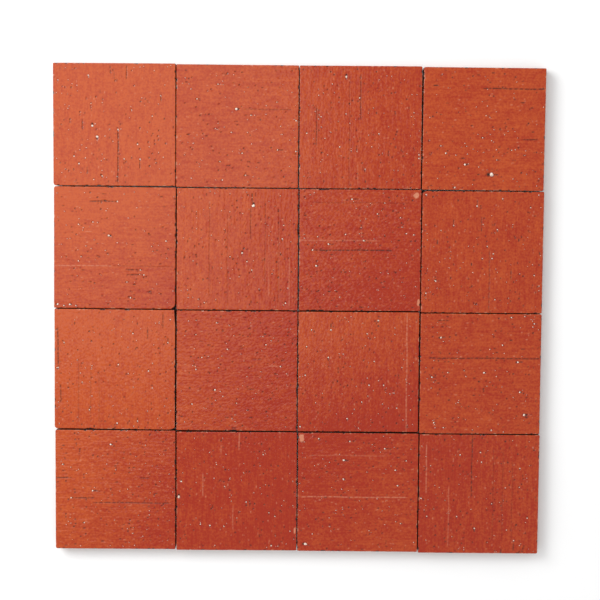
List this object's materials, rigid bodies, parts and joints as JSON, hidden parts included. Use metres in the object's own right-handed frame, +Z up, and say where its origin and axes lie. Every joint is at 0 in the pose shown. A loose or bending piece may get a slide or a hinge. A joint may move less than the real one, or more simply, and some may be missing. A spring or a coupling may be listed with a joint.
{
  "type": "glazed clay tile field",
  "caption": "Square glazed clay tiles laid dry in a square field with narrow open joints, each a fired clay body under a glossy coat and each loose to lift out.",
  "frame": {"origin": "middle of the field, on the plane the tiles' flat backs lie on", "axes": "+Z up out of the glazed faces; +X runs along the rows from column 1 to column 4; +Y runs across the rows from row d to row a"},
  "size_m": [0.4035, 0.4034, 0.012],
  "materials": {
    "clay": "matt fired clay",
    "glaze_a1": "gloss",
    "glaze_a2": "gloss",
    "glaze_a3": "gloss",
    "glaze_a4": "gloss",
    "glaze_b1": "gloss",
    "glaze_b2": "gloss",
    "glaze_b3": "gloss",
    "glaze_b4": "gloss",
    "glaze_c1": "gloss",
    "glaze_c2": "gloss",
    "glaze_c3": "gloss",
    "glaze_c4": "gloss",
    "glaze_d1": "gloss",
    "glaze_d2": "gloss",
    "glaze_d3": "gloss",
    "glaze_d4": "gloss"
  },
  "bodies": {
    "tile_b2": {"tile_b2_body": "clay", "tile_b2_glaze": "glaze_b2"},
    "tile_a1": {"tile_a1_body": "clay", "tile_a1_glaze": "glaze_a1"},
    "tile_a2": {"tile_a2_body": "clay", "tile_a2_glaze": "glaze_a2"},
    "tile_a3": {"tile_a3_body": "clay", "tile_a3_glaze": "glaze_a3"},
    "tile_a4": {"tile_a4_body": "clay", "tile_a4_glaze": "glaze_a4"},
    "tile_b1": {"tile_b1_body": "clay", "tile_b1_glaze": "glaze_b1"},
    "tile_b3": {"tile_b3_body": "clay", "tile_b3_glaze": "glaze_b3"},
    "tile_b4": {"tile_b4_body": "clay", "tile_b4_glaze": "glaze_b4"},
    "tile_c1": {"tile_c1_body": "clay", "tile_c1_glaze": "glaze_c1"},
    "tile_c2": {"tile_c2_body": "clay", "tile_c2_glaze": "glaze_c2"},
    "tile_c3": {"tile_c3_body": "clay", "tile_c3_glaze": "glaze_c3"},
    "tile_c4": {"tile_c4_body": "clay", "tile_c4_glaze": "glaze_c4"},
    "tile_d1": {"tile_d1_body": "clay", "tile_d1_glaze": "glaze_d1"},
    "tile_d2": {"tile_d2_body": "clay", "tile_d2_glaze": "glaze_d2"},
    "tile_d3": {"tile_d3_body": "clay", "tile_d3_glaze": "glaze_d3"},
    "tile_d4": {"tile_d4_body": "clay", "tile_d4_glaze": "glaze_d4"}
  },
  "joints": [
    {"name": "lift_a1", "type": "slide", "parent": "tile_b2", "child": "tile_a1", "axis": [0, 0, 1], "range_m": [0, 0.05]},
    {"name": "lift_a2", "type": "slide", "parent": "tile_b2", "child": "tile_a2", "axis": [0, 0, 1], "range_m": [0, 0.05]},
    {"name": "lift_a3", "type": "slide", "parent": "tile_b2", "child": "tile_a3", "axis": [0, 0, 1], "range_m": [0, 0.05]},
    {"name": "lift_a4", "type": "slide", "parent": "tile_b2", "child": "tile_a4", "axis": [0, 0, 1], "range_m": [0, 0.05]},
    {"name": "lift_b1", "type": "slide", "parent": "tile_b2", "child": "tile_b1", "axis": [0, 0, 1], "range_m": [0, 0.05]},
    {"name": "lift_b3", "type": "slide", "parent": "tile_b2", "child": "tile_b3", "axis": [0, 0, 1], "range_m": [0, 0.05]},
    {"name": "lift_b4", "type": "slide", "parent": "tile_b2", "child": "tile_b4", "axis": [0, 0, 1], "range_m": [0, 0.05]},
    {"name": "lift_c1", "type": "slide", "parent": "tile_b2", "child": "tile_c1", "axis": [0, 0, 1], "range_m": [0, 0.05]},
    {"name": "lift_c2", "type": "slide", "parent": "tile_b2", "child": "tile_c2", "axis": [0, 0, 1], "range_m": [0, 0.05]},
    {"name": "lift_c3", "type": "slide", "parent": "tile_b2", "child": "tile_c3", "axis": [0, 0, 1], "range_m": [0, 0.05]},
    {"name": "lift_c4", "type": "slide", "parent": "tile_b2", "child": "tile_c4", "axis": [0, 0, 1], "range_m": [0, 0.05]},
    {"name": "lift_d1", "type": "slide", "parent": "tile_b2", "child": "tile_d1", "axis": [0, 0, 1], "range_m": [0, 0.05]},
    {"name": "lift_d2", "type": "slide", "parent": "tile_b2", "child": "tile_d2", "axis": [0, 0, 1], "range_m": [0, 0.05]},
    {"name": "lift_d3", "type": "slide", "parent": "tile_b2", "child": "tile_d3", "axis": [0, 0, 1], "range_m": [0, 0.05]},
    {"name": "lift_d4", "type": "slide", "parent": "tile_b2", "child": "tile_d4", "axis": [0, 0, 1], "range_m": [0, 0.05]}
  ]
}
